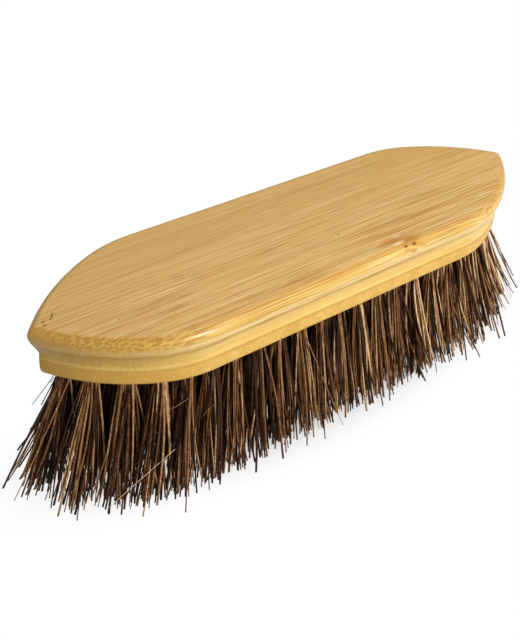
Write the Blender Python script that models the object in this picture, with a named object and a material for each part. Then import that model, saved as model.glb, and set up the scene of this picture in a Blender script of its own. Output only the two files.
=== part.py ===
"""Dandy brush: a moulded block glued up from three bamboo plies, set with tufts of stiff palm fibre.

Lengths are in metres and +Z is up. The brush stands on its bristle tips, with the origin on the
floor under the middle of the block and +X along the block's length.
"""

import math
import random

import bmesh
import bpy
from mathutils import Vector

# Plan of the block: a straight side, a shoulder arc, a longer taper arc and a small round nose.
BLOCK_LENGTH = 0.215
BLOCK_WIDTH = 0.0642
SHOULDER_RADIUS = 0.0450
SHOULDER_TURN = math.radians(24.9)
TAPER_RADIUS = 0.0777
NOSE_RADIUS = 0.0012

# Section of the block, each depth measured down from the top face.
BLOCK_THICKNESS = 0.0207
LIP_INSET = 0.0032
LIP_DEPTH = 0.0040
COVE_INSET = 0.00195
COVE_DEPTH = 0.0120
BAND_INSET = 0.0013
BAND_DEPTH = 0.0184
FOOT_ROUND = 0.00245
TOP_JOINT_DEPTH = 0.0074
CORE_JOINT_DEPTH = 0.01425

# Recess under the block and the slices of backing that carry the tufts.
RIM_WIDTH = 0.0009
RECESS_DEPTH = 0.0032
FIT_CLEARANCE = 0.0003

# Tufts: rows along the block with one in each nose, tufts across the middle rows, and strands.
TUFT_ROWS = 23
TUFTS_ACROSS = 6
NOSE_GAP = 0.0064
EXTRA_TUFT_SHARE = 0.85
TUFT_EDGE = 0.0042
EDGE_TUFT_STRANDS = 5
INNER_TUFT_STRANDS = 4
TUFT_RADIUS = 0.0020

# Strands: length below the block, thickness, spread and ragged ends.
TRIM_LENGTH = 0.050
STRAND_RADIUS = 0.00078
STRAND_TIP_RADIUS = 0.00060
STRAND_EMBED = 0.0012
END_SPLAY = 0.0190
SIDE_SPLAY = 0.0085
END_SPLAY_POWER = 1.4
SIDE_SPLAY_POWER = 1.6
TUFT_FAN = 2.0
TIP_SCATTER = 0.0004
RAGGED_SHORT = 0.0040
RAGGED_LONG = 0.0030
TIP_CUT = 0.0005
BEND_SHARE = 0.36

# Steps of the curves.
NOSE_STEPS = 3
TAPER_STEPS = 9
SHOULDER_STEPS = 5
LIP_STEPS = 6
OGEE_STEPS = 4
CORE_STEPS = 6
BAND_STEPS = 3
FOOT_STEPS = 6
STRAND_SIDES = 3
SEED = 21

TOP_Z = TRIM_LENGTH + BLOCK_THICKNESS
UNDERSIDE_Z = TRIM_LENGTH
FOOT_INSET = BAND_INSET + FOOT_ROUND
RECESS_INSET = FOOT_INSET + RIM_WIDTH
TUFT_LINE_INSET = FOOT_INSET + TUFT_EDGE
TUFT_WIDTH = 2 * (TUFT_RADIUS + STRAND_RADIUS)

BAMBOO_TOP = (0.66, 0.46, 0.19)
BAMBOO_CORE = (0.78, 0.58, 0.25)
BAMBOO_BASE = (0.70, 0.46, 0.15)
PALM_FIBRE = (0.10, 0.05, 0.03)
BAMBOO_ROUGHNESS = 0.42
FIBRE_ROUGHNESS = 0.6
SHARP_ANGLE = math.radians(35)


def clear_scene():
    for item in list(bpy.data.objects):
        bpy.data.objects.remove(item, do_unlink=True)


def material(name, colour, roughness):
    made = bpy.data.materials.new(name)
    made.use_nodes = True
    shader = made.node_tree.nodes["Principled BSDF"]
    shader.inputs["Base Color"].default_value = (*colour, 1)
    shader.inputs["Roughness"].default_value = roughness
    shader.inputs["Metallic"].default_value = 0
    return made


def add_object(name, bm, finish):
    bmesh.ops.recalc_face_normals(bm, faces=bm.faces)
    mesh = bpy.data.meshes.new(name)
    bm.to_mesh(mesh)
    bm.free()
    made = bpy.data.objects.new(name, mesh)
    made.data.materials.append(finish)
    bpy.context.collection.objects.link(made)
    return made


# Plan outline

def taper_centre():
    """Centre of the taper arc, below the long axis on the far side of the block."""
    drop = SHOULDER_RADIUS - TAPER_RADIUS
    y = BLOCK_WIDTH / 2 - SHOULDER_RADIUS + drop * math.cos(SHOULDER_TURN)
    nose_x = BLOCK_LENGTH / 2 - NOSE_RADIUS
    x = nose_x - math.sqrt((TAPER_RADIUS - NOSE_RADIUS) ** 2 - y**2)
    return x, y


def shoulder_start():
    """Where the straight side ends and the shoulder arc starts."""
    x, _ = taper_centre()
    return x + (TAPER_RADIUS - SHOULDER_RADIUS) * math.sin(SHOULDER_TURN)


def nose_centre(inset):
    """Centre along X of the nose arc, which keeps its radius on the outline drawn in by inset."""
    x, y = taper_centre()
    return x + math.sqrt((TAPER_RADIUS - inset - NOSE_RADIUS) ** 2 - y**2)


def arc(centre, radius, start, end, steps):
    """Points of an arc from start to end, without its last point."""
    for step in range(steps):
        angle = start + (end - start) * step / steps
        yield centre[0] + radius * math.cos(angle), centre[1] + radius * math.sin(angle)


def quarter_plan(inset):
    """Outline in the +X +Y quarter, from the nose round to the end of the straight side."""
    taper_x, taper_y = taper_centre()
    nose_x = nose_centre(inset)
    meet = math.atan2(-taper_y, nose_x - taper_x)
    turn = math.pi / 2 - SHOULDER_TURN
    straight_x = shoulder_start()
    shoulder_y = BLOCK_WIDTH / 2 - SHOULDER_RADIUS
    points = list(arc((nose_x, 0), NOSE_RADIUS, 0, meet, NOSE_STEPS))
    points += arc((taper_x, taper_y), TAPER_RADIUS - inset, meet, turn, TAPER_STEPS)
    points += arc(
        (straight_x, shoulder_y), SHOULDER_RADIUS - inset, turn, math.pi / 2, SHOULDER_STEPS
    )
    points.append((straight_x, BLOCK_WIDTH / 2 - inset))
    return points


def plan(inset):
    """Whole outline, counter-clockwise from the nose at +X."""
    quarter = quarter_plan(inset)
    back = [(-x, y) for x, y in reversed(quarter)]
    upper = quarter + back
    lower = [(x, -y) for x, y in reversed(upper)]
    return upper + lower[1:-1]


def half_width(x, inset):
    """Half the width of the outline drawn in by inset, at a distance x from the middle."""
    taper_x, taper_y = taper_centre()
    straight_x = shoulder_start()
    turn_x = straight_x + (SHOULDER_RADIUS - inset) * math.sin(SHOULDER_TURN)
    x = abs(x)
    if x <= straight_x:
        return BLOCK_WIDTH / 2 - inset
    if x <= turn_x:
        rise = math.sqrt((SHOULDER_RADIUS - inset) ** 2 - (x - straight_x) ** 2)
        return BLOCK_WIDTH / 2 - SHOULDER_RADIUS + rise
    return taper_y + math.sqrt(max((TAPER_RADIUS - inset) ** 2 - (x - taper_x) ** 2, 0))


# Moulded section: stations of (depth, inset)

def lip_stations():
    """Rounded top edge, from the flat top face to just above the widest line."""
    for step in range(LIP_STEPS):
        angle = math.pi / 2 * step / LIP_STEPS
        yield LIP_DEPTH * (1 - math.cos(angle)), LIP_INSET * (1 - math.sin(angle))


def side_inset(depth):
    """Inset of the side below the lip: the ogee in to the finger cove, then the bulged band."""
    if depth < COVE_DEPTH:
        share = (depth - LIP_DEPTH) / (COVE_DEPTH - LIP_DEPTH)
        return COVE_INSET * share * share * (3 - 2 * share)
    share = (depth - COVE_DEPTH) / (BAND_DEPTH - COVE_DEPTH)
    return COVE_INSET + (BAND_INSET - COVE_INSET) * math.sin(share * math.pi / 2)


def side_stations(start, end, steps):
    """Stations of the side from one depth to another, with both of these."""
    for step in range(steps + 1):
        depth = start + (end - start) * step / steps
        yield depth, side_inset(depth)


def foot_stations():
    """Rounded lower edge, from the band to the flat underside."""
    for step in range(1, FOOT_STEPS + 1):
        angle = math.pi / 2 * step / FOOT_STEPS
        depth = BAND_DEPTH + (BLOCK_THICKNESS - BAND_DEPTH) * math.sin(angle)
        yield depth, BAND_INSET + FOOT_ROUND * (1 - math.cos(angle))


def loft(stations):
    """Closed body through the outline at each station, capped at both ends."""
    bm = bmesh.new()
    rings = []
    for depth, inset in stations:
        rings.append([bm.verts.new((x, y, TOP_Z - depth)) for x, y in plan(inset)])
    for upper, lower in zip(rings, rings[1:]):
        for i, corner in enumerate(upper):
            bm.faces.new((upper[i - 1], corner, lower[i], lower[i - 1]))
    bm.faces.new(rings[0])
    bm.faces.new(rings[-1])
    return bm


def make_ply(name, stations, colour):
    ply = add_object(name, loft(stations), material(name, colour, BAMBOO_ROUGHNESS))
    ply.data.shade_smooth()
    ply.data.set_sharp_from_angle(angle=SHARP_ANGLE)


def make_block():
    """Three plies glued face to face. The base ply is recessed for the tufted slices."""
    top = [*lip_stations(), *side_stations(LIP_DEPTH, TOP_JOINT_DEPTH, OGEE_STEPS)]
    make_ply("top_ply", top, BAMBOO_TOP)
    core = list(side_stations(TOP_JOINT_DEPTH, CORE_JOINT_DEPTH, CORE_STEPS))
    make_ply("core_ply", core, BAMBOO_CORE)
    recess = [
        (BLOCK_THICKNESS, RECESS_INSET),
        (BLOCK_THICKNESS - RECESS_DEPTH, RECESS_INSET),
    ]
    side = side_stations(CORE_JOINT_DEPTH, BAND_DEPTH, BAND_STEPS)
    base = [*side, *foot_stations(), *recess]
    make_ply("base_ply", base, BAMBOO_BASE)


# Tufts

def row_places():
    """Places of the tuft rows along X: even between the noses, and a last tuft in each nose."""
    last = nose_centre(TUFT_LINE_INSET) + NOSE_RADIUS
    gaps = TUFT_ROWS - 3
    reach = last - NOSE_GAP
    inner = [reach * (2 * step / gaps - 1) for step in range(gaps + 1)]
    return [-last, *inner, last]


def tufts_in_row(x):
    """Places of the tufts across a row, with one at each edge of the block."""
    reach = half_width(x, TUFT_LINE_INSET)
    if reach < TUFT_WIDTH / 2:
        return [0.0]
    spaces = (TUFTS_ACROSS - 1) * reach / half_width(0, TUFT_LINE_INSET)
    gaps = max(math.floor(spaces + 1 - EXTRA_TUFT_SHARE), 1)
    return [reach * (2 * step / gaps - 1) for step in range(gaps + 1)]


def splay(x, y):
    """Sideways travel of a strand from its root to its tip, growing towards the edges."""
    last = row_places()[-1]
    along = END_SPLAY * (abs(x) / last) ** END_SPLAY_POWER
    reach = max(half_width(x, TUFT_LINE_INSET), TUFT_WIDTH)
    across = SIDE_SPLAY * (abs(y) / reach) ** SIDE_SPLAY_POWER
    return Vector((math.copysign(along, x), math.copysign(across, y)))


def tuft_strands(x, y, at_edge, rng):
    """Root, tip and tip height of each strand of a tuft: a small ring that fans out."""
    count = EDGE_TUFT_STRANDS if at_edge else INNER_TUFT_STRANDS
    turn = rng.uniform(0, math.tau)
    strands = []
    for index in range(count):
        angle = turn + math.tau * index / count
        offset = TUFT_RADIUS * Vector((math.cos(angle), math.sin(angle)))
        scatter = Vector((rng.uniform(-1, 1), rng.uniform(-1, 1))) * TIP_SCATTER
        travel = splay(x, y) + offset * (TUFT_FAN - 1) + scatter
        length = TRIM_LENGTH + rng.uniform(-RAGGED_SHORT, RAGGED_LONG)
        drop = math.sqrt(length**2 - travel.length_squared)
        tip_z = max(UNDERSIDE_Z - drop, -TIP_CUT)
        strands.append((Vector((x, y)) + offset, travel, tip_z))
    return strands


def strand_ring(bm, centre, z, radius, turn):
    corners = []
    for side in range(STRAND_SIDES):
        angle = turn + math.tau * side / STRAND_SIDES
        x = centre.x + radius * math.cos(angle)
        y = centre.y + radius * math.sin(angle)
        corners.append(bm.verts.new((x, y, z)))
    return corners


def add_strand(bm, root, travel, tip_z, turn):
    """One strand from inside the backing to its tip, bending outwards halfway down."""
    middle_radius = (STRAND_RADIUS + STRAND_TIP_RADIUS) / 2
    rings = [
        strand_ring(bm, root, UNDERSIDE_Z + STRAND_EMBED, STRAND_RADIUS, turn),
        strand_ring(
            bm, root + travel * BEND_SHARE, (UNDERSIDE_Z + tip_z) / 2, middle_radius, turn
        ),
        strand_ring(bm, root + travel, tip_z, STRAND_TIP_RADIUS, turn),
    ]
    for upper, lower in zip(rings, rings[1:]):
        for i, corner in enumerate(upper):
            bm.faces.new((upper[i - 1], corner, lower[i], lower[i - 1]))
    bm.faces.new(rings[0])
    bm.faces.new(rings[-1])


def cut_flat(bm):
    """Trims the strands that reach the floor, so that the brush stands on their flat ends."""
    everything = bm.verts[:] + bm.edges[:] + bm.faces[:]
    bmesh.ops.bisect_plane(
        bm, geom=everything, plane_co=(0, 0, 0), plane_no=(0, 0, 1), clear_inner=True
    )
    open_edges = [edge for edge in bm.edges if edge.is_boundary]
    bmesh.ops.holes_fill(bm, edges=open_edges)


def make_strands(name, x, finish, rng):
    """The strands of one row, which the row's slice of backing takes in."""
    bm = bmesh.new()
    places = tufts_in_row(x)
    count = 0
    for y in places:
        at_edge = y in (places[0], places[-1])
        for root, travel, tip_z in tuft_strands(x, y, at_edge, rng):
            add_strand(bm, root, travel, tip_z, rng.uniform(0, math.tau))
            count += 1
    cut_flat(bm)
    strands = add_object(name, bm, finish)
    strands.hide_render = True
    strands.display_type = "WIRE"
    return strands, count


def make_slice(name, start, end, finish):
    """Slice of the backing between start and end along X, cut to the recess's outline."""
    bm = bmesh.new()
    outline = plan(RECESS_INSET + FIT_CLEARANCE)
    bm.faces.new([bm.verts.new((x, y, UNDERSIDE_Z)) for x, y in outline])
    for place, side in ((start, -1), (end, 1)):
        everything = bm.verts[:] + bm.edges[:] + bm.faces[:]
        bmesh.ops.bisect_plane(
            bm, geom=everything, plane_co=(place, 0, 0), plane_no=(side, 0, 0), clear_outer=True
        )
    raised = bmesh.ops.extrude_face_region(bm, geom=bm.faces[:])
    corners = [item for item in raised["geom"] if isinstance(item, bmesh.types.BMVert)]
    height = RECESS_DEPTH - FIT_CLEARANCE
    bmesh.ops.translate(bm, verts=corners, vec=(0, 0, height))
    return add_object(name, bm, finish)


def make_tuft_rows():
    """One node for each row: a slice of backing with its tufts of strands grown into it."""
    rng = random.Random(SEED)
    rows = row_places()
    total = 0
    for index, x in enumerate(rows):
        before = (rows[index - 1] + x) / 2 if index else -BLOCK_LENGTH
        after = (x + rows[index + 1]) / 2 if index + 1 < len(rows) else BLOCK_LENGTH
        name = f"tuft_row_{index + 1:02d}"
        finish = material(name, PALM_FIBRE, FIBRE_ROUGHNESS)
        backing = make_slice(name, before + FIT_CLEARANCE / 2, after - FIT_CLEARANCE / 2, finish)
        strands, count = make_strands(f"{name}_strands", x, finish, rng)
        total += count
        union = backing.modifiers.new("strands", "BOOLEAN")
        union.operation = "UNION"
        union.solver = "EXACT"
        union.object = strands
    print(f"{len(rows)} tuft rows, {total} strands")


clear_scene()
make_block()
make_tuft_rows()
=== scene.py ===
"""Dandy brush: the looks of a moulded bamboo block set with tufts of stiff palm fibre.

Lengths are in metres and +Z is up. The brush stands on its bristle tips on the floor, with the
origin under the middle of the block and +X along the block's length.
"""

import functools
import math
import random

import bmesh
import bpy
from mathutils import Matrix, Vector


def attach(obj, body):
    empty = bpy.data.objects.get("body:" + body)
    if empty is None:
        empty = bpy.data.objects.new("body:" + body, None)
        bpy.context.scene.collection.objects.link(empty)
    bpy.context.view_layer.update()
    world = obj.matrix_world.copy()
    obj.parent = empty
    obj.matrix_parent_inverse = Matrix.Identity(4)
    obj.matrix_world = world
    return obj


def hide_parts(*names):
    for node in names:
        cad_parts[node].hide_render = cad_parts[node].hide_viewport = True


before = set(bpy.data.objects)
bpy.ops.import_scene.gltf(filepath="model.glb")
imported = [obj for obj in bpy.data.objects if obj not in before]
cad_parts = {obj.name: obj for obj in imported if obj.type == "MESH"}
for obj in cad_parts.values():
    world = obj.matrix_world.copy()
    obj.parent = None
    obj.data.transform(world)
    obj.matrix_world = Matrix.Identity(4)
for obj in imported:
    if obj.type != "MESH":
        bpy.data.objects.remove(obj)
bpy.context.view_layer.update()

# Floor: a pale studio sweep under the brush. The lens sees it all but white, and it keeps the soft
# shadow of the bristles.

FLOOR_HALF = 3.0
FLOOR_COLOUR = (0.45, 0.45, 0.45)
# Half the length and half the width of the painted shadow, and the glow that is left in it.
FOOTPRINT = (0.120, 0.042)
FOOTPRINT_GLOW = 0.4
# Where the shadow starts to fade and where it is gone, as shares of the footprint.
FOOTPRINT_FADE = (0.5, 1.2)
# The colour sockets of a Mix node, which has others of the same names.
MIX_FIRST = 6
MIX_SECOND = 7
MIX_RESULT = 2


class Signal:
    """One output in a node tree. Sums written on it in Python add Math nodes."""

    def __init__(self, nodes, output):
        self.nodes = nodes
        self.output = output

    def sum(self, operation, *values):
        settings = {"operation": operation}
        return self.nodes.node("ShaderNodeMath", settings, dict(enumerate(values)))

    def __add__(self, other):
        return self.sum("ADD", self, other)

    def __radd__(self, other):
        return self.sum("ADD", other, self)

    def __sub__(self, other):
        return self.sum("SUBTRACT", self, other)

    def __rsub__(self, other):
        return self.sum("SUBTRACT", other, self)

    def __mul__(self, other):
        return self.sum("MULTIPLY", self, other)

    def __rmul__(self, other):
        return self.sum("MULTIPLY", other, self)

    def __abs__(self):
        return self.sum("ABSOLUTE", self)

    def at_least(self, other):
        return self.sum("MAXIMUM", self, other)

    def rise(self, low, high):
        """0 below low, 1 above high, and a smooth step between them."""
        settings = {"interpolation_type": "SMOOTHSTEP"}
        sockets = {"Value": self, "From Min": low, "From Max": high}
        return self.nodes.node("ShaderNodeMapRange", settings, sockets)


class Nodes:
    """A node tree being put together. Every node that is added to it comes from node()."""

    def __init__(self, tree):
        self.tree = tree

    def node(self, kind, settings, sockets, output=0):
        made = self.tree.nodes.new(kind)
        for name, value in settings.items():
            if name == "stops":
                while len(made.color_ramp.elements) < len(value):
                    made.color_ramp.elements.new(0.5)
                for stop, (place, colour) in zip(made.color_ramp.elements, value):
                    stop.position = place
                    stop.color = (*colour, 1)
            else:
                setattr(made, name, value)
        for socket, value in sockets.items():
            self.feed(made, socket, value)
        return Signal(self, made.outputs[output])

    def feed(self, node, socket, value):
        if isinstance(value, Signal):
            self.tree.links.new(value.output, node.inputs[socket])
        else:
            node.inputs[socket].default_value = value

    def vector(self, operation, *values, output=0):
        settings = {"operation": operation}
        return self.node("ShaderNodeVectorMath", settings, dict(enumerate(values)), output)

    def mixed(self, share, first, second):
        """Colour between first and second."""
        colours = [(*c, 1) if isinstance(c, tuple) else c for c in (first, second)]
        sockets = {"Factor": share, MIX_FIRST: colours[0], MIX_SECOND: colours[1]}
        return self.node("ShaderNodeMix", {"data_type": "RGBA"}, sockets, output=MIX_RESULT)

    def layered(self, colour, *layers):
        """Lays colours over the first one, each by its own share."""
        for share, layer in layers:
            colour = self.mixed(share, colour, layer)
        return colour

    def seen(self):
        """1 to the lens and in reflections, and 0 to the rays that carry light."""
        kinds = ("Is Camera Ray", "Is Glossy Ray", "Is Transmission Ray")
        camera, glossy, through = [
            self.node("ShaderNodeLightPath", {}, {}, output=kind) for kind in kinds
        ]
        return camera.at_least(glossy).at_least(through)


class Paint(Nodes):
    """A material being mixed."""

    def __init__(self, name):
        self.material = bpy.data.materials.new(name)
        self.material.use_nodes = True
        super().__init__(self.material.node_tree)
        self.surface = self.tree.nodes["Principled BSDF"]
        self.result = self.tree.nodes["Material Output"]

    def place_in_object(self):
        return self.node("ShaderNodeTexCoord", {}, {}, output="Object")


def floor_paint():
    """Mostly lit from itself for the lens and for reflections, so that it reads as white.

    Under the brush it gives off less, which paints a soft shadow there and lets the cast shadow among
    the bristles show.
    """
    paint = Paint("studio_floor")
    scale = (1 / FOOTPRINT[0], 1 / FOOTPRINT[1], 0)
    share = paint.vector("MULTIPLY", paint.place_in_object(), scale)
    away = paint.vector("LENGTH", share, output="Value").rise(*FOOTPRINT_FADE)
    glow = FOOTPRINT_GLOW + away * (1 - FOOTPRINT_GLOW)
    white = paint.node("ShaderNodeEmission", {}, {"Color": (1, 1, 1, 1), "Strength": 1.0})
    cloth = paint.node("ShaderNodeBsdfDiffuse", {}, {"Color": (*FLOOR_COLOUR, 1)})
    both = paint.node("ShaderNodeMixShader", {}, {0: paint.seen() * glow, 1: cloth, 2: white})
    paint.feed(paint.result, "Surface", both)
    return paint.material


def add_piece(name, bm, material):
    mesh = bpy.data.meshes.new(name)
    bm.to_mesh(mesh)
    bm.free()
    mesh.materials.append(material)
    piece = bpy.data.objects.new(name, mesh)
    bpy.context.scene.collection.objects.link(piece)
    return piece


bm = bmesh.new()
bmesh.ops.create_grid(bm, x_segments=1, y_segments=1, size=FLOOR_HALF)
floor = add_piece("floor", bm, floor_paint())

# Studio light: a soft box low in front makes the near long side the brightest, with weaker ones
# overhead and behind. A tent all round is white to the lens and in reflections, and lights dimly.

KEY_DIRECTION = Vector((0.135, -0.925, 0.355)).normalized()
KEY_DISTANCE = 1.1
KEY_SIZE = 0.3
KEY_POWER = 13.2
TOP_DIRECTION = Vector((0.35, -0.1, 1.0)).normalized()
TOP_DISTANCE = 1.6
TOP_SIZE = 0.8
TOP_POWER = 9.2
BACK_DIRECTION = Vector((0.3, 0.9, 0.3)).normalized()
BACK_DISTANCE = 1.5
BACK_SIZE = 1.2
BACK_POWER = 5.0
LIGHT_TARGET = Vector((0, 0, 0.03))
TENT_LIGHT = 0.26


def soft_box(name, direction, distance, size, power):
    lamp = bpy.data.lights.new(name, "AREA")
    lamp.shape = "SQUARE"
    lamp.size = size
    lamp.energy = power
    made = bpy.data.objects.new(name, lamp)
    turn = direction.to_track_quat("Z", "Y").to_matrix().to_4x4()
    made.matrix_world = Matrix.Translation(LIGHT_TARGET + direction * distance) @ turn
    bpy.context.scene.collection.objects.link(made)


soft_box("key_light", KEY_DIRECTION, KEY_DISTANCE, KEY_SIZE, KEY_POWER)
soft_box("top_light", TOP_DIRECTION, TOP_DISTANCE, TOP_SIZE, TOP_POWER)
soft_box("back_light", BACK_DIRECTION, BACK_DISTANCE, BACK_SIZE, BACK_POWER)

world = bpy.data.worlds.new("studio_tent")
world.use_nodes = True
bpy.context.scene.world = world
tent = Nodes(world.node_tree)
cloth = tent.tree.nodes["Background"]
tent.feed(cloth, "Color", (1, 1, 1, 1))
tent.feed(cloth, "Strength", TENT_LIGHT + tent.seen() * (1 - TENT_LIGHT))

# Camera: above the near left end, looking along the block's length and down on its top and its
# near long side, turned by half a degree.

CAMERA_AZIMUTH = math.radians(-34.252)
CAMERA_ELEVATION = math.radians(40.332)
CAMERA_ROLL = math.radians(0.547)
CAMERA_PLACE = Vector((-0.14672, -0.18828, 0.22623))
CAMERA_LENS = 42.401
SENSOR = 36.0
NEAR_CLIP = 0.01

back = Vector(
    (
        math.sin(CAMERA_AZIMUTH) * math.cos(CAMERA_ELEVATION),
        -math.cos(CAMERA_AZIMUTH) * math.cos(CAMERA_ELEVATION),
        math.sin(CAMERA_ELEVATION),
    )
)
level_right = (-back).cross(Vector((0, 0, 1))).normalized()
level_up = level_right.cross(-back)
right = math.cos(CAMERA_ROLL) * level_right + math.sin(CAMERA_ROLL) * level_up
up = -math.sin(CAMERA_ROLL) * level_right + math.cos(CAMERA_ROLL) * level_up
lens = bpy.data.cameras.new("camera")
lens.lens = CAMERA_LENS
lens.sensor_width = SENSOR
lens.clip_start = NEAR_CLIP
camera = bpy.data.objects.new("camera", lens)
camera.matrix_world = Matrix.Translation(CAMERA_PLACE) @ Matrix((right, up, back)).transposed().to_4x4()
bpy.context.scene.collection.objects.link(camera)
bpy.context.scene.camera = camera
bpy.context.scene.view_settings.view_transform = "Standard"

# Top ply: a thick layer of pale caramel bamboo with its fibres along the block, moulded with a
# round lip and an ogee down to the finger cove, and finished with a satin lacquer.

BLOCK_LENGTH = 0.215
BLOCK_WIDTH = 0.0642
SHOULDER_RADIUS = 0.0450
SHOULDER_TURN = math.radians(24.9)
TAPER_RADIUS = 0.0777
NOSE_RADIUS = 0.0012
TOP_Z = 0.0707
LIP_INSET = 0.0032
LIP_DEPTH = 0.0040
COVE_INSET = 0.00195
COVE_DEPTH = 0.0120
BAND_INSET = 0.0013
BAND_DEPTH = 0.0184
TOP_JOINT_DEPTH = 0.0074
GLUE_NICK = 0.00008
FLAT_MARGIN = 0.0004
NOSE_STEPS = 4
TAPER_STEPS = 22
SHOULDER_STEPS = 14
LIP_STEPS = 10
OGEE_STEPS = 12
SHARP_ANGLE = math.radians(40)
MERGE_DISTANCE = 1e-6
TO_MM = 1000.0
# Places in the bamboo's materials are in mm, and depths are counted from the top face.
# The cut bundles start to show at the first distance from this centre and show in full at the second.
GRAIN_CENTRE = 12
GRAIN_ENDS = (62, 106)
# Where the painted shade at the left nose starts and where it is full, along the block and in depth.
NOSE_SHADE_SPAN = (-88, -107)
NOSE_SHADE_DEPTH = (1.0, 5.0)
NOSE_SHADE_SHARE = 0.25
NOSE_SHADE_COLOUR = (0.20, 0.09, 0.01)
# Where each other look comes on and where it is full, across the block, along it or in depth.
# Where the top turns from its darker far side to its lighter near side, painted light, and where its
# grain grows clearer.
NEAR_SIDE = (26, -34)
# Painted shade darkens the top towards its left end, from the first place along the block to the second.
SHADED_END = (-45, -105)
BELOW_FLAT = (0.0, 0.03)
ROUNDED_DEPTH = (0.02, 0.3)
# Where the painted dark reflection along the rim's edge comes on, just below the flat, in depth.
RIM_DARK_REFLECTION_DEPTH = (0.0, 0.15)
RIM_UPPER_DEPTH = (0.7, 1.9)
RIM_LOWER_DEPTH = (3.3, 4.6)
RIM_CUT_DEPTH = (0.1, 0.7)
TOP_GLUE_SHADE_DEPTH = (5.7, 7.3)
# Where the glue stain with its painted ogee shade and the rings fade: towards the far end, towards both
# noses, and in depth.
GLUE_FADE = (0, 90)
RING_FADE = (0, 60)
RING_NOSE_FADE = (94, 106)
RING_DEPTH_FADE = (2.8, 5.4)
RING_SIZE = 1.0
# The lacquer, and the relief of the grain in metres.
COAT_ROUGHNESS = 0.2
SPECULAR = 0.10
BUMP_STRENGTH = 0.7
TOP_RELIEF = 0.00009
# Colours of the top ply, from the body to the marks on it.
# The top is painted lighter on its near side and darker on its far side, as painted light.
TOP_FAR_SHADED = (0.60, 0.358, 0.112)
TOP_NEAR_LIT = (0.70, 0.435, 0.147)
TOP_BAND = (0.74, 0.485, 0.185)
# The colour of the painted shade at the top's left end.
TOP_SHADED_END = (0.46, 0.255, 0.08)
# A painted dark reflection: a deeper orange band where the lip starts to round off the flat.
RIM_DARK_REFLECTION = (0.46, 0.25, 0.036)
RIM_UPPER = (0.57, 0.365, 0.080)
RIM_LOWER = (0.68, 0.50, 0.20)
RIM_CUT = (0.45, 0.255, 0.043)
WARM_STREAK = (0.68, 0.335, 0.105)
PALE_STREAK = (0.86, 0.62, 0.28)
BROWN_STREAK = (0.44, 0.225, 0.055)
DARK_FIBRE = (0.38, 0.175, 0.035)
PALE_FIBRE = (0.94, 0.72, 0.38)
THREAD = (0.31, 0.14, 0.03)
RING = (0.25, 0.11, 0.012)
# A glue stain beside the joint of the top and core plies, widened with painted shade on the ogee.
GLUE_AND_OGEE_SHADE = (0.38, 0.195, 0.038)
HALO = (0.50, 0.225, 0.045)
STAIN = (0.43, 0.165, 0.018)
FLECK = (0.90, 0.68, 0.36)
KNOT_DARK = (0.36, 0.19, 0.02)
KNOT_PALE = (0.88, 0.70, 0.30)
PIT = (0.09, 0.035, 0.012)
# How far the grain sags towards the knot, across the block and down.
KNOT_SAG = (-0.8, 1.4)
# Centre and radii of the grain's bend at the knot, of the knot, and of the stains and pale flecks.
KNOT_BEND = ((28, -32, 66.4), (9, 6, 4.2))
KNOT = ((28.0, -31.0, 67.2), (5.5, 4.0, 3.4))
KNOT_HALO = ((26, -22.5, 70), (34, 7.5, 4))
STAINS = (
    ((20.5, -26.6, 70), (10, 2.4, 3)),
    ((27.5, -29.2, 70), (8, 3, 3)),
)
FLECKS = (
    ((24.7, -25.0, 71), (2.6, 0.5, 2)),
    ((22.4, -28.8, 71), (3.6, 1.0, 2)),
)
# Centre and radii of each pit, crack and knot hole.
DARK_MARKS = (
    ((-101.6, 0.2, 70.7), (0.8, 0.5, 0.5)),
    ((-101.7, -1.5, 70.7), (0.8, 0.5, 0.5)),
    ((-97.6, 2.6, 70.7), (0.35, 0.7, 0.5)),
    ((-98.0, 1.8, 70.7), (0.4, 0.7, 0.5)),
    ((-98.4, 1.0, 70.7), (0.45, 0.7, 0.5)),
    ((-99.1, 0.2, 70.7), (0.45, 0.7, 0.5)),
    ((-80.8, -11.7, 70.7), (0.5, 0.3, 0.5)),
    ((7.5, -12.2, 70.7), (0.4, 0.6, 0.5)),
    ((24.3, -31.0, 69.9), (1.2, 0.9, 0.7)),
    ((28.2, -31.1, 69.8), (1.3, 0.9, 0.7)),
)

taper_y = BLOCK_WIDTH / 2 - SHOULDER_RADIUS + (SHOULDER_RADIUS - TAPER_RADIUS) * math.cos(SHOULDER_TURN)
taper_x = BLOCK_LENGTH / 2 - NOSE_RADIUS - math.sqrt((TAPER_RADIUS - NOSE_RADIUS) ** 2 - taper_y**2)
straight_x = taper_x + (TAPER_RADIUS - SHOULDER_RADIUS) * math.sin(SHOULDER_TURN)


def swing(bm, point, centre, angle, steps):
    """Sweeps a point round a centre and returns the point at the end of the arc."""
    swept = bmesh.ops.spin(
        bm, geom=[point], cent=centre, axis=(0, 0, 1), dvec=(0, 0, 0), angle=angle, steps=steps
    )
    return next(item for item in swept["geom_last"] if isinstance(item, bmesh.types.BMVert))


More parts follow.
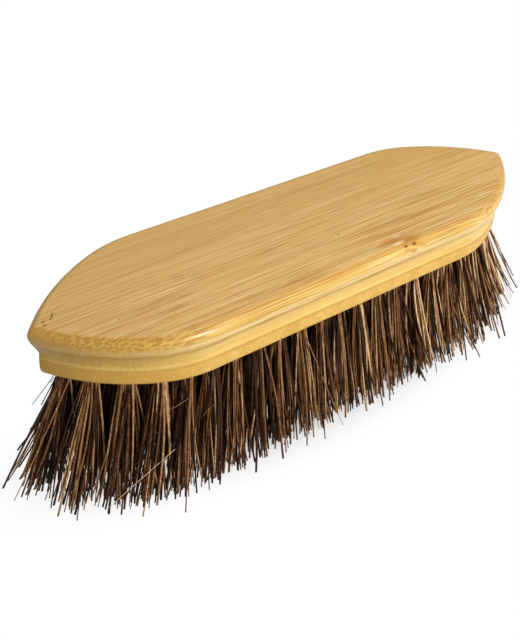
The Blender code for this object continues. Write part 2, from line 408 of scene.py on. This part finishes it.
def outline(bm, depth, inset):
    """The block's outline drawn in by inset, as a closed loop of edges at a depth below the top."""
    z = TOP_Z - depth
    nose_x = taper_x + math.sqrt((TAPER_RADIUS - inset - NOSE_RADIUS) ** 2 - taper_y**2)
    meet = math.atan2(-taper_y, nose_x - taper_x)
    turn = math.pi / 2 - SHOULDER_TURN
    before = set(bm.verts)
    tip = bm.verts.new((nose_x + NOSE_RADIUS, 0, z))
    end = swing(bm, tip, (nose_x, 0, z), meet, NOSE_STEPS)
    end = swing(bm, end, (taper_x, taper_y, z), turn - meet, TAPER_STEPS)
    shoulder = (straight_x, BLOCK_WIDTH / 2 - SHOULDER_RADIUS, z)
    end = swing(bm, end, shoulder, SHOULDER_TURN, SHOULDER_STEPS)
    side = bmesh.ops.extrude_vert_indiv(bm, verts=[end])["verts"]
    bmesh.ops.translate(bm, verts=side, vec=(-straight_x, 0, 0))
    for axis in "XY":
        quarter = [v for v in bm.verts if v not in before]
        edges = {edge for v in quarter for edge in v.link_edges}
        bmesh.ops.mirror(bm, geom=quarter + list(edges), axis=axis, merge_dist=MERGE_DISTANCE)
    return list({edge for v in bm.verts if v not in before for edge in v.link_edges})


def close_flat(bm, loop):
    """Closes an end with one flat face, inside a narrow margin that keeps its shading flat."""
    made = bmesh.ops.holes_fill(bm, edges=loop, sides=0)["faces"]
    bmesh.ops.inset_region(bm, faces=made, thickness=FLAT_MARGIN, use_even_offset=True)


def shade(piece):
    piece.data.shade_smooth()
    piece.data.set_sharp_from_angle(angle=SHARP_ANGLE)


def moulded_ply(name, stations, material):
    """A solid through the outline at each station of depth and inset."""
    bm = bmesh.new()
    loops = [outline(bm, depth, inset) for depth, inset in stations]
    for upper, lower in zip(loops, loops[1:]):
        bmesh.ops.bridge_loops(bm, edges=upper + lower)
    close_flat(bm, loops[0])
    close_flat(bm, loops[-1])
    bmesh.ops.recalc_face_normals(bm, faces=bm.faces)
    ply = add_piece(name, bm, material)
    shade(ply)
    return ply


def lip_run():
    for step in range(LIP_STEPS):
        angle = math.pi / 2 * step / LIP_STEPS
        yield LIP_DEPTH * (1 - math.cos(angle)), LIP_INSET * (1 - math.sin(angle))


def side_inset(depth):
    """Inset of the side below the lip: the ogee in to the finger cove, then the bulged band."""
    if depth < COVE_DEPTH:
        share = (depth - LIP_DEPTH) / (COVE_DEPTH - LIP_DEPTH)
        return COVE_INSET * share * share * (3 - 2 * share)
    share = (depth - COVE_DEPTH) / (BAND_DEPTH - COVE_DEPTH)
    return COVE_INSET + (BAND_INSET - COVE_INSET) * math.sin(share * math.pi / 2)


def side_run(start, end, steps):
    for step in range(steps + 1):
        depth = start + (end - start) * step / steps
        yield depth, side_inset(depth)


def glued_edge(depth):
    """Where two plies meet, which is drawn in a hair's breadth."""
    return depth, side_inset(depth) + GLUE_NICK


class Bamboo(Paint):
    """Lacquered bamboo. Its patterns are solid and drawn out along the fibres, in millimetres."""

    def __init__(self, name, along="X"):
        super().__init__(name)
        self.place = self.vector("MULTIPLY", self.place_in_object(), (TO_MM, TO_MM, TO_MM))
        self.x, self.y, self.z = [
            self.node("ShaderNodeSeparateXYZ", {}, {"Vector": self.place}, output=axis) for axis in "XYZ"
        ]
        self.depth = TOP_Z * TO_MM - self.z
        self.along = along
        self.end_grain = abs(self.x - GRAIN_CENTRE).rise(*GRAIN_ENDS)

    def streaks(self, length, width, seed=0.0, detail=1.0, roughness=0.5):
        """Noise whose spots are length long along the fibres and width wide across them."""
        scale = [1 / length if axis == self.along else 1 / width for axis in "XYZ"]
        sockets = {
            "Vector": self.vector("MULTIPLY", self.place, tuple(scale)),
            "W": seed,
            "Scale": 1.0,
            "Detail": detail,
            "Roughness": roughness,
        }
        return self.node("ShaderNodeTexNoise", {"noise_dimensions": "4D"}, sockets)

    def threads(self, length, width, seed, thickness):
        """Thin wandering lines along the fibres, 1 in their middle."""
        return 1 - abs(self.streaks(length, width, seed) - 0.5).rise(0.0, thickness)

    def joint_stain_and_shade(self, share, least):
        """How far the wood beside the joint of the top and core plies darkens, in patches: a glue stain,
        widened with painted shade on the ogee.
        """
        patches = self.streaks(length=14, width=1.3, seed=15.0).rise(0.4, 0.65)
        return share * (least + patches * 0.4) * (1 - self.x.rise(*GLUE_FADE) * 0.35)

    def rings(self, width):
        """Small dark rings, where a moulded end cuts across the fibre bundles."""
        across = self.node("ShaderNodeCombineXYZ", {}, {"X": self.y, "Y": self.z})
        sockets = {"Vector": across, "Scale": 1 / width, "Randomness": 0.8}
        bundle = self.node("ShaderNodeTexVoronoi", {"voronoi_dimensions": "2D"}, sockets)
        return bundle.rise(0.02, 0.2) * (1 - bundle.rise(0.24, 0.46))

    def spot(self, centre, radii, soft):
        """An ellipsoid that is 1 out to a share of its radii, soft, and fades to 0 at its surface."""
        offset = self.vector("SUBTRACT", self.place, centre)
        scaled = self.vector("DIVIDE", offset, radii)
        return 1 - self.vector("LENGTH", scaled, output="Value").rise(soft, 1.0)

    def finish(self, colour, height, relief, roughness, coat):
        """Darkens the side of the left nose with painted shade, and lays the lacquer on."""
        # Painted shade: the side of the left nose is darkened towards its tip.
        nose_shade = self.x.rise(*NOSE_SHADE_SPAN) * self.depth.rise(*NOSE_SHADE_DEPTH)
        colour = self.mixed(nose_shade * NOSE_SHADE_SHARE, colour, NOSE_SHADE_COLOUR)
        self.feed(self.surface, "Base Color", colour)
        self.feed(self.surface, "Roughness", roughness)
        self.feed(self.surface, "Coat Weight", coat)
        self.feed(self.surface, "Coat Roughness", COAT_ROUGHNESS)
        self.feed(self.surface, "Specular IOR Level", SPECULAR)
        sockets = {"Strength": BUMP_STRENGTH, "Distance": relief, "Height": height}
        self.feed(self.surface, "Normal", self.node("ShaderNodeBump", {}, sockets))
        return self.material


def top_bamboo():
    paint = Bamboo("bamboo_top")
    depth = paint.depth
    bend = paint.spot(*KNOT_BEND, soft=0.0)
    sag = paint.node("ShaderNodeCombineXYZ", {}, {"Y": bend * KNOT_SAG[0], "Z": bend * KNOT_SAG[1]})
    paint.place = paint.vector("ADD", paint.place, sag)
    wide = paint.streaks(length=150, width=6)
    medium = paint.streaks(length=55, width=0.85, seed=1.0, detail=1.5)
    fine = paint.streaks(length=28, width=0.42, seed=2.0, detail=2.0, roughness=0.6)

    # The body, the rim that follows the grain, and the cut ends.
    near = paint.y.rise(*NEAR_SIDE)
    ragged = depth + (medium - 0.5) * 1.3 * (1 - paint.end_grain)
    # Painted dark reflection along the rim's edge, where the lip starts to round off the flat.
    edge = ragged.rise(*RIM_DARK_REFLECTION_DEPTH) * depth.rise(*BELOW_FLAT)
    cut = paint.end_grain * depth.rise(*RIM_CUT_DEPTH)
    body = paint.layered(
        # Painted light: lighter towards the near side of the top, darker towards the far side.
        paint.mixed(near, TOP_FAR_SHADED, TOP_NEAR_LIT),
        (wide.rise(0.35, 0.65) * 0.25, TOP_BAND),
        # Painted shade: the top darkens towards its left end.
        (paint.x.rise(*SHADED_END) * 0.3, TOP_SHADED_END),
        (edge * 0.9, RIM_DARK_REFLECTION),
        (ragged.rise(*RIM_UPPER_DEPTH) * 0.9, RIM_UPPER),
        (ragged.rise(*RIM_LOWER_DEPTH) * 0.9, RIM_LOWER),
        (cut * 0.8, RIM_CUT),
    )

    # The grain, which is clearer on the near side and fades where the ends are cut.
    strength = (0.36 + near * 0.54) * (1 - cut.rise(0.0, 0.4) * 0.75)
    rounded = depth.rise(*ROUNDED_DEPTH)
    warm = paint.streaks(length=70, width=1.5, seed=8.0, detail=1.5).rise(0.5, 0.68) * (1 - rounded)
    breaks = paint.streaks(length=30, width=1.6, seed=4.0).rise(0.42, 0.6)
    long_threads = paint.threads(length=120, width=2.4, seed=5.0, thickness=0.02)
    short_threads = paint.threads(length=80, width=1.6, seed=6.0, thickness=0.016)
    body = paint.layered(
        body,
        (warm * strength * 0.5, WARM_STREAK),
        (medium.rise(0.5, 0.7) * 0.5 * strength, PALE_STREAK),
        (medium.rise(0.5, 0.32) * 0.6 * strength, BROWN_STREAK),
        (fine.rise(0.5, 0.3) * 0.8 * strength, DARK_FIBRE),
        (fine.rise(0.52, 0.7) * 0.6 * strength, PALE_FIBRE),
        (long_threads.at_least(short_threads) * breaks * 0.6 * strength, THREAD),
    )

    # The rings of the cut ends, and the glue line widened with painted shade on the ogee.
    rings = paint.rings(RING_SIZE) * cut.rise(0.0, 0.3) * (1 - depth.rise(*RING_DEPTH_FADE) * 0.8)
    rings = rings * (1 - abs(paint.x).rise(*RING_NOSE_FADE) * 0.6) * (1 - paint.x.rise(*RING_FADE) * 0.7)
    glue_and_shade = paint.joint_stain_and_shade(depth.rise(*TOP_GLUE_SHADE_DEPTH), least=0.45)
    body = paint.layered(body, (rings * 0.64, RING), (glue_and_shade, GLUE_AND_OGEE_SHADE))

    # The knot in the rim with the stain round it, and the pits.
    patchy = 0.35 + paint.streaks(length=12, width=0.7, seed=17.0).rise(0.35, 0.6) * 0.65
    halo = paint.spot(*KNOT_HALO, soft=0.0)
    halo = halo * paint.streaks(length=30, width=1.1, seed=18.0).rise(0.3, 0.6)
    ripples = paint.streaks(length=2.6, width=0.55, seed=19.0)
    knot = paint.spot(*KNOT, soft=0.3)
    pits = functools.reduce(Signal.at_least, [paint.spot(*mark, soft=0.35) for mark in DARK_MARKS])
    body = paint.layered(
        body,
        (halo * 0.85, HALO),
        *[(paint.spot(*stain, soft=0.1) * patchy, STAIN) for stain in STAINS],
        *[(paint.spot(*fleck, soft=0.5) * 0.6, FLECK) for fleck in FLECKS],
        (knot * ripples.rise(0.52, 0.62) * 0.7, KNOT_DARK),
        (knot * ripples.rise(0.48, 0.38) * 0.5, KNOT_PALE),
        (pits * 0.85, PIT),
    )
    height = (fine * 0.5 + medium * 0.3) * strength - pits * 1.5
    roughness = 0.68 - rounded * 0.28 + fine * 0.1
    return paint.finish(body, height, TOP_RELIEF, roughness, coat=rounded * 0.3)


ogee = side_run(LIP_DEPTH, TOP_JOINT_DEPTH - GLUE_NICK, OGEE_STEPS)
stations = [*lip_run(), *ogee, glued_edge(TOP_JOINT_DEPTH)]
top_ply = moulded_ply("top_ply_moulded", stations, top_bamboo())
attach(top_ply, "root")
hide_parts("top_ply")

# Core ply: a paler layer of the same bamboo, glued under the top ply and moulded with it into a
# slightly bulged band.

CORE_JOINT_DEPTH = 0.01425
CORE_STEPS = 20
SIDE_RELIEF = 0.00006
SIDE_COAT = 0.1
CORE_RING_SIZE = 0.8
CORE_DEEP = (0.61, 0.395, 0.109)
CORE_LIGHT = (0.68, 0.455, 0.140)
CORE_PALE_STREAK = (0.80, 0.57, 0.22)
CORE_BROWN_STREAK = (0.48, 0.28, 0.065)
CORE_FIBRE = (0.45, 0.26, 0.06)
CORE_CUT = (0.41, 0.25, 0.052)
CORE_RING = (0.32, 0.16, 0.028)
CORE_PALE_SPECK = (0.64, 0.43, 0.13)
CORE_DARK_SPECK = (0.30, 0.16, 0.03)
# A painted highlight on the bulge of the band, low on the core.
CORE_BULGE_HIGHLIGHT = (0.80, 0.58, 0.20)
CORE_LINE = (0.36, 0.19, 0.03)
# Where the glue stain with its painted ogee shade, the rings, the painted highlight on the bulge and the
# lower glue line come on or go, in depth.
CORE_GLUE_SHADE_DEPTH = (7.5, 9.3)
CORE_RING_DEPTH_FADE = (9.5, 14.0)
BULGE_HIGHLIGHT_TOP = (12.0, 13.2)
BULGE_HIGHLIGHT_FOOT = (13.2, 14.0)
CORE_LINE_DEPTH = (13.4, 14.2)
# How much the lower glue line fades where the ends are cut.
LINE_FADE = 0.6


def core_bamboo():
    paint = Bamboo("bamboo_core")
    depth = paint.depth
    ends = paint.end_grain
    wide = paint.streaks(length=90, width=2.5, seed=11.0)
    medium = paint.streaks(length=45, width=0.9, seed=12.0, detail=2.0)
    fine = paint.streaks(length=20, width=0.4, seed=13.0, detail=2.0, roughness=0.6)
    specks = paint.streaks(length=1.6, width=0.7, seed=14.0, detail=2.0, roughness=0.6)
    rings = paint.rings(CORE_RING_SIZE) * ends * (1 - depth.rise(*CORE_RING_DEPTH_FADE) * 0.6)
    # Painted highlight on the bulge, just above the lower glue line.
    bulge_highlight = depth.rise(*BULGE_HIGHLIGHT_TOP) * (1 - depth.rise(*BULGE_HIGHLIGHT_FOOT))
    line = depth.rise(*CORE_LINE_DEPTH) * (1 - ends * LINE_FADE)
    body = paint.layered(
        paint.mixed(wide.rise(0.35, 0.65), CORE_DEEP, CORE_LIGHT),
        (medium.rise(0.5, 0.75) * 0.4, CORE_PALE_STREAK),
        (medium.rise(0.5, 0.28) * 0.4, CORE_BROWN_STREAK),
        (fine.rise(0.5, 0.3) * 0.35, CORE_FIBRE),
        (ends * 0.8, CORE_CUT),
        (rings * 0.45, CORE_RING),
        (specks.rise(0.5, 0.68) * ends * 0.4, CORE_PALE_SPECK),
        (specks.rise(0.5, 0.32) * ends * 0.4, CORE_DARK_SPECK),
        (bulge_highlight * 0.25, CORE_BULGE_HIGHLIGHT),
        (line * 0.55, CORE_LINE),
        (paint.joint_stain_and_shade(1 - depth.rise(*CORE_GLUE_SHADE_DEPTH), least=0.4), GLUE_AND_OGEE_SHADE),
    )
    return paint.finish(body, fine - rings * 0.3, SIDE_RELIEF, 0.32 + fine * 0.1, SIDE_COAT)


side = side_run(TOP_JOINT_DEPTH + GLUE_NICK, CORE_JOINT_DEPTH, CORE_STEPS)
core_ply = moulded_ply("core_ply_moulded", [glued_edge(TOP_JOINT_DEPTH), *side], core_bamboo())
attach(core_ply, "root")
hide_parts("core_ply")

# Base ply: the lowest and most orange layer, laid with its fibres across the block, rounded at its
# lower edge and drilled from below with one blind hole for each tuft.

BLOCK_THICKNESS = 0.0207
FOOT_ROUND = 0.00245
UNDERSIDE_Z = TOP_Z - BLOCK_THICKNESS
FOOT_STEPS = 9
BAND_STEPS = 8
HOLE_RADIUS = 0.0026
HOLE_DEPTH = 0.0042
HOLE_SIDES = 16
TUFT_ROWS = 23
TUFTS_ACROSS = 6
NOSE_GAP = 0.0064
# A row gets one more tuft where at least this share of a space is left over.
EXTRA_TUFT_SHARE = 0.85
TUFT_LINE_INSET = 0.00795
TUFT_WIDTH = 0.00556
BASE_DEEP = (0.54, 0.32, 0.072)
BASE_LIGHT = (0.60, 0.37, 0.096)
BASE_PALE_MOTTLE = (0.75, 0.49, 0.16)
BASE_BROWN_MOTTLE = (0.45, 0.24, 0.045)
BASE_FIBRE = (0.42, 0.22, 0.045)
BASE_CUT = (0.43, 0.24, 0.042)
BASE_PALE_SPECK = (0.62, 0.38, 0.09)
BASE_DARK_SPECK = (0.30, 0.15, 0.02)
BASE_LINE = (0.36, 0.18, 0.028)
BASE_LINE_DEPTH = (14.2, 15.2)


def half_width(x, inset):
    """Half the width of the outline drawn in by inset, at x along the block."""
    x = abs(x)
    shoulder = SHOULDER_RADIUS - inset
    if x <= straight_x:
        return BLOCK_WIDTH / 2 - inset
    if x <= straight_x + shoulder * math.sin(SHOULDER_TURN):
        rise = math.sqrt(shoulder**2 - (x - straight_x) ** 2)
        return BLOCK_WIDTH / 2 - SHOULDER_RADIUS + rise
    return taper_y + math.sqrt(max((TAPER_RADIUS - inset) ** 2 - (x - taper_x) ** 2, 0))


def row_places():
    """Places of the rows along the block: evenly spaced, and one more at each nose."""
    nose = TAPER_RADIUS - TUFT_LINE_INSET - NOSE_RADIUS
    last = taper_x + math.sqrt(nose**2 - taper_y**2) + NOSE_RADIUS
    gaps = TUFT_ROWS - 3
    return [-last, *[(last - NOSE_GAP) * (2 * i / gaps - 1) for i in range(gaps + 1)], last]


def tufts_in_row(x):
    """Places of a row's tufts across the block, as many as its width holds."""
    reach = half_width(x, TUFT_LINE_INSET)
    if reach < TUFT_WIDTH / 2:
        return [0.0]
    spaces = (TUFTS_ACROSS - 1) * reach / half_width(0, TUFT_LINE_INSET)
    gaps = max(math.floor(spaces + 1 - EXTRA_TUFT_SHARE), 1)
    return [reach * (2 * i / gaps - 1) for i in range(gaps + 1)]


def foot_run():
    for step in range(1, FOOT_STEPS + 1):
        angle = math.pi / 2 * step / FOOT_STEPS
        depth = BAND_DEPTH + (BLOCK_THICKNESS - BAND_DEPTH) * math.sin(angle)
        yield depth, BAND_INSET + FOOT_ROUND * (1 - math.cos(angle))


def base_bamboo():
    paint = Bamboo("bamboo_base", along="Y")
    ends = paint.end_grain
    wide = paint.streaks(length=30, width=7.0, seed=21.0, detail=2.0)
    mottle = paint.streaks(length=9, width=1.0, seed=22.0, detail=3.0, roughness=0.65)
    fine = paint.streaks(length=5, width=0.4, seed=23.0, detail=2.0)
    line = (1 - paint.depth.rise(*BASE_LINE_DEPTH)) * (1 - ends * LINE_FADE)
    body = paint.layered(
        paint.mixed(wide.rise(0.35, 0.65), BASE_DEEP, BASE_LIGHT),
        (mottle.rise(0.5, 0.7) * 0.45, BASE_PALE_MOTTLE),
        (mottle.rise(0.5, 0.3) * 0.45, BASE_BROWN_MOTTLE),
        (fine.rise(0.5, 0.3) * 0.35, BASE_FIBRE),
        (ends * 0.75, BASE_CUT),
        (mottle.rise(0.5, 0.66) * ends * 0.4, BASE_PALE_SPECK),
        (fine.rise(0.5, 0.32) * ends * 0.35, BASE_DARK_SPECK),
        (line * 0.55, BASE_LINE),
    )
    return paint.finish(body, fine, SIDE_RELIEF, 0.35 + fine * 0.1, SIDE_COAT)


def drill(piece, places):
    """Cuts one blind hole from below at each place."""
    bm = bmesh.new()
    for x, y in places:
        matrix = Matrix.Translation((x, y, UNDERSIDE_Z))
        bmesh.ops.create_cone(
            bm,
            cap_ends=True,
            segments=HOLE_SIDES,
            radius1=HOLE_RADIUS,
            radius2=HOLE_RADIUS,
            depth=2 * HOLE_DEPTH,
            matrix=matrix,
        )
    bits = add_piece("drill_bits", bm, piece.data.materials[0])
    cut = piece.modifiers.new("holes", "BOOLEAN")
    cut.operation = "DIFFERENCE"
    cut.solver = "EXACT"
    cut.object = bits
    graph = bpy.context.evaluated_depsgraph_get()
    drilled = bpy.data.meshes.new_from_object(piece.evaluated_get(graph))
    piece.modifiers.clear()
    piece.data = drilled
    bpy.data.objects.remove(bits, do_unlink=True)
    shade(piece)


side = side_run(CORE_JOINT_DEPTH, BAND_DEPTH, BAND_STEPS)
base_ply = moulded_ply("base_ply_drilled", [*side, *foot_run()], base_bamboo())
drill(base_ply, [(x, y) for x in row_places() for y in tufts_in_row(x)])
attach(base_ply, "root")
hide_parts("base_ply")

# Tufts: stiff, dark to ginger palm fibres, which in the brush are folded in half and pinned in the holes
# by a wire anchor; here each fibre starts at the bottom of its hole and no anchor is drawn.
# They lean outwards at the edges and the noses, and their cut ends are ragged.

TRIM_LENGTH = 0.050
END_SPLAY = 0.0190
SIDE_SPLAY = 0.0085
END_SPLAY_POWER = 1.4
SIDE_SPLAY_POWER = 1.6
FIBRES_IN_TUFT = 58
FIBRE_SIDES = 5
FIBRE_CUTS = 6
PACK_RADIUS = 0.0023
FIBRE_RADIUS = 0.00044
FAN = 2.0
TIP_SCATTER = 0.0026
FLOOR_CLEARANCE = 0.0001
GOLDEN_TURN = 2.399963
SEED = 21
# What changes towards the noses, where it grows with this power of the distance.
NOSE_POWER = 6
NOSE_EXTRA = 0.6
NOSE_SPLAY_LOSS = 0.3
END_SPLAY_LOSS = 0.15
NOSE_TRIM = 0.003
# Spreads of the random draws. A triangular draw has a low end, a high end and a peak.
SCATTER_SHARES = (0.7, 0.7, 0.7, 1.5)
SPLAY_SHARES = (0.8, 1.15)
RAGGED_TRIM = (-0.010, 0.0038, 0.002)
THICKNESS_SHARES = (0.45, 1.5, 0.95)
FLATNESS = (0.55, 0.95)
LEAN = (0.65, 1.0)
BOW = 0.0008
TAPER = (0.05, 0.4)
# Painted light: fibres are darker towards the -X end and paler towards the +X end, the side the key
# light comes from.
LIT_END_POWER_LOSS = 0.2
TONE_MIDDLE = 0.92
LIT_END_TONE_GAIN = 0.12
STRAY_FLATNESS = 0.8
STRAY_BOW = 0.0006
STRAY_TAPER = 0.3
# Looks of the fibres. A patch is long along the fibre, and scales are per metre.
PATCH_SCALE = (1400.0, 1400.0, 110.0)
PATCH_SHARE = 0.55
SPECK_SCALE = 1600.0
SPECK_SHARE = 0.4
NOISE_DETAIL = 2.0
FIBRE_ROUGHNESS = 0.5
FIBRE_SPECULAR = 0.04
FIBRE_TONES = (
    (0.0, (0.006, 0.002, 0.001)),
    (0.17, (0.044, 0.021, 0.013)),
    (0.3, (0.033, 0.011, 0.005)),
    (0.48, (0.145, 0.060, 0.023)),
    (0.75, (0.31, 0.162, 0.066)),
    (1.0, (0.70, 0.48, 0.26)),
)
# Root or start, tip, radius, tone and lean of each stray strand, the lengths in mm.
STRAYS = (
    ((-38.5, -25.0, 54.0), (-47.3, -40.6, 0.6), 0.66, 0.16, 0.9),
    ((-18.0, -25.0, 54.0), (-5.5, -40.3, 0.6), 0.24, 0.75, 0.9),
    ((73.5, -24.5, 54.0), (89.3, -38.9, 0.6), 0.62, 0.16, 0.9),
    ((82.5, -20.5, 54.0), (92.5, -31.9, 0.6), 0.42, 0.8, 0.9),
    ((93.0, -7.0, 54.0), (111.0, -15.5, 3.0), 0.4, 0.65, 0.9),
    ((92.0, -8.0, 54.0), (108.0, -24.5, 6.0), 0.14, 0.55, 0.9),
    ((92.0, -8.5, 54.0), (104.0, -27.0, 8.0), 0.12, 0.45, 0.9),
    ((-96.0, -3.0, 54.0), (-127.5, -9.3, 8.0), 0.32, 0.7, 0.9),
    ((-98.4, 1.0, 54.0), (-120.2, 0.4, 20.5), 0.55, 0.05, 0.2),
    ((-98.6, 0.0, 54.0), (-121.1, 3.3, 8.7), 0.5, 0.08, 0.3),
    ((-97.0, 0.0, 54.0), (-126.0, 1.4, 8.0), 0.4, 0.5, 0.7),
)
LOOSE = (
    ((-75.2, -31.8, 23.3), (-103.5, -33.7, 12.3), 0.13, 1.0, 0.9),
    ((-66.7, -28.6, 41.1), (-78.3, -28.8, 40.2), 0.16, 0.65, 0.9),
    ((-55.9, -29.8, 33.8), (-62.7, -30.3, 31.2), 0.16, 0.75, 0.9),
)


def fibre_form():
    """One straight fibre of unit radius and length, from its root at 0 down to its cut end at -1."""
    bm = bmesh.new()
    bmesh.ops.create_cone(
        bm,
        cap_ends=True,
        segments=FIBRE_SIDES,
        radius1=1,
        radius2=1,
        depth=1,
        matrix=Matrix.Translation((0, 0, -0.5)),
    )
    upright = [e for e in bm.edges if abs(e.verts[0].co.z - e.verts[1].co.z) > 0.5]
    bmesh.ops.subdivide_edges(bm, edges=upright, cuts=FIBRE_CUTS, use_grid_fill=True)
    form = bpy.data.meshes.new("fibre_form")
    bm.to_mesh(form)
    bm.free()
    return form


class Tufts:
    """One row of tufts being filled with fibres."""

    def __init__(self, form):
        self.bm = bmesh.new()
        self.form = form
        self.tone = self.bm.verts.layers.float.new("tone")
        self.along = self.bm.verts.layers.float.new("along")
        self.done = 0

    def fibre(self, start, end, hole, radius, flat, turn, lean, bow, taper, tone):
        """Runs one fibre from start, straight through the hole and then out to its tip at end."""
        self.bm.from_mesh(self.form)
        self.bm.verts.ensure_lookup_table()
        added = self.bm.verts[self.done :]
        self.done += len(added)
        travel = (end - start).xy
        drop = start.z - end.z
        ring = Matrix.Rotation(turn, 3, "Z") @ Matrix.Diagonal((1, flat, 1))
        if hole == 0:
            ring = (end - start).to_track_quat("Z", "Y").to_matrix() @ ring
        for corner in added:
            along = -corner.co.z
            out = max((along * drop - hole) / (drop - hole), 0)
            side = travel * (lean * out + (1 - lean) * out * out) + bow * math.sin(math.pi * out)
            thick = radius * (1 - taper * along)
            middle = Vector((*side, -drop * along)) + start
            corner.co = middle + ring @ Vector((corner.co.x, corner.co.y, 0)) * thick
            corner[self.tone] = tone
            corner[self.along] = along


def splay(x, y):
    """How far the tips of the tuft at x and y lean out from its hole."""
    last = row_places()[-1]
    along = END_SPLAY * (abs(x) / last) ** END_SPLAY_POWER
    reach = max(half_width(x, TUFT_LINE_INSET), TUFT_WIDTH)
    across = SIDE_SPLAY * (abs(y) / reach) ** SIDE_SPLAY_POWER
    return Vector((math.copysign(along, x), math.copysign(across, y)))


def sideways(rng, spread):
    return Vector((rng.gauss(0, spread), rng.gauss(0, spread)))


def fill_tuft(tufts, x, y, rng):
    lead = splay(x, y)
    start = rng.uniform(0, math.tau)
    share = x / row_places()[-1]
    nose = share**NOSE_POWER
    end = math.copysign(nose, x)
    least = SPLAY_SHARES[0] - NOSE_SPLAY_LOSS * nose
    most = SPLAY_SHARES[1] - END_SPLAY_LOSS * end
    count = round(FIBRES_IN_TUFT * (1 + NOSE_EXTRA * nose))
    for index in range(count):
        angle = start + GOLDEN_TURN * index
        offset = PACK_RADIUS * math.sqrt((index + 0.5) / count)
        offset = offset * Vector((math.cos(angle), math.sin(angle)))
        scatter = sideways(rng, TIP_SCATTER * rng.choice(SCATTER_SHARES))
        travel = lead * rng.uniform(least, most) + offset * (FAN - 1) + scatter
        length = TRIM_LENGTH + rng.triangular(*RAGGED_TRIM) + NOSE_TRIM * (nose - end)
        drop = math.sqrt(length**2 - travel.length_squared)
        root = Vector((x, y)) + offset
        tufts.fibre(
            start=Vector((*root, UNDERSIDE_Z + HOLE_DEPTH)),
            end=Vector((*(root + travel), max(UNDERSIDE_Z - drop, FLOOR_CLEARANCE))),
            hole=HOLE_DEPTH,
            radius=FIBRE_RADIUS * rng.triangular(*THICKNESS_SHARES),
            flat=rng.uniform(*FLATNESS),
            turn=rng.uniform(0, math.tau),
            lean=rng.uniform(*LEAN),
            bow=sideways(rng, BOW),
            taper=rng.uniform(*TAPER),
            # The tone is painted paler towards +X and darker towards -X, as painted light.
            tone=rng.random() ** (1.0 - LIT_END_POWER_LOSS * share) * (TONE_MIDDLE + LIT_END_TONE_GAIN * share),
        )


def add_strands(tufts, x, hole, strands, rng):
    """Adds the strands whose roots are nearest to the row at x."""
    for start, end, radius, tone, lean in strands:
        if min(row_places(), key=lambda place: abs(place - start[0] / TO_MM)) == x:
            tufts.fibre(
                start=Vector(start) / TO_MM,
                end=Vector(end) / TO_MM,
                hole=hole,
                radius=radius / TO_MM,
                flat=STRAY_FLATNESS,
                turn=rng.uniform(0, math.tau),
                lean=lean,
                bow=sideways(rng, STRAY_BOW),
                taper=STRAY_TAPER,
                tone=tone,
            )


def palm_fibre():
    paint = Paint("palm_fibre")
    tone = paint.node("ShaderNodeAttribute", {"attribute_name": "tone"}, {}, output="Fac")
    place = paint.place_in_object()
    drawn_out = paint.vector("MULTIPLY", place, PATCH_SCALE)
    patches, specks = [
        paint.node("ShaderNodeTexNoise", {}, {"Vector": spot, "Scale": scale, "Detail": NOISE_DETAIL})
        for spot, scale in ((drawn_out, 1.0), (place, SPECK_SCALE))
    ]
    shifted = tone + (patches - 0.5) * PATCH_SHARE + (specks - 0.5) * SPECK_SHARE
    colour = paint.node("ShaderNodeValToRGB", {"stops": FIBRE_TONES}, {"Fac": shifted})
    paint.feed(paint.surface, "Base Color", colour)
    paint.feed(paint.surface, "Roughness", FIBRE_ROUGHNESS)
    paint.feed(paint.surface, "Specular IOR Level", FIBRE_SPECULAR)
    return paint.material


rng = random.Random(SEED)
form = fibre_form()
fibre_finish = palm_fibre()
for index, x in enumerate(row_places(), start=1):
    tufts = Tufts(form)
    for y in tufts_in_row(x):
        fill_tuft(tufts, x, y, rng)
    add_strands(tufts, x, HOLE_DEPTH, STRAYS, rng)
    add_strands(tufts, x, 0, LOOSE, rng)
    row = add_piece(f"bristles_{index:02d}", tufts.bm, fibre_finish)
    row.data.shade_smooth()
    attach(row, "root")
    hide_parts(f"tuft_row_{index:02d}")
bpy.data.meshes.remove(form)
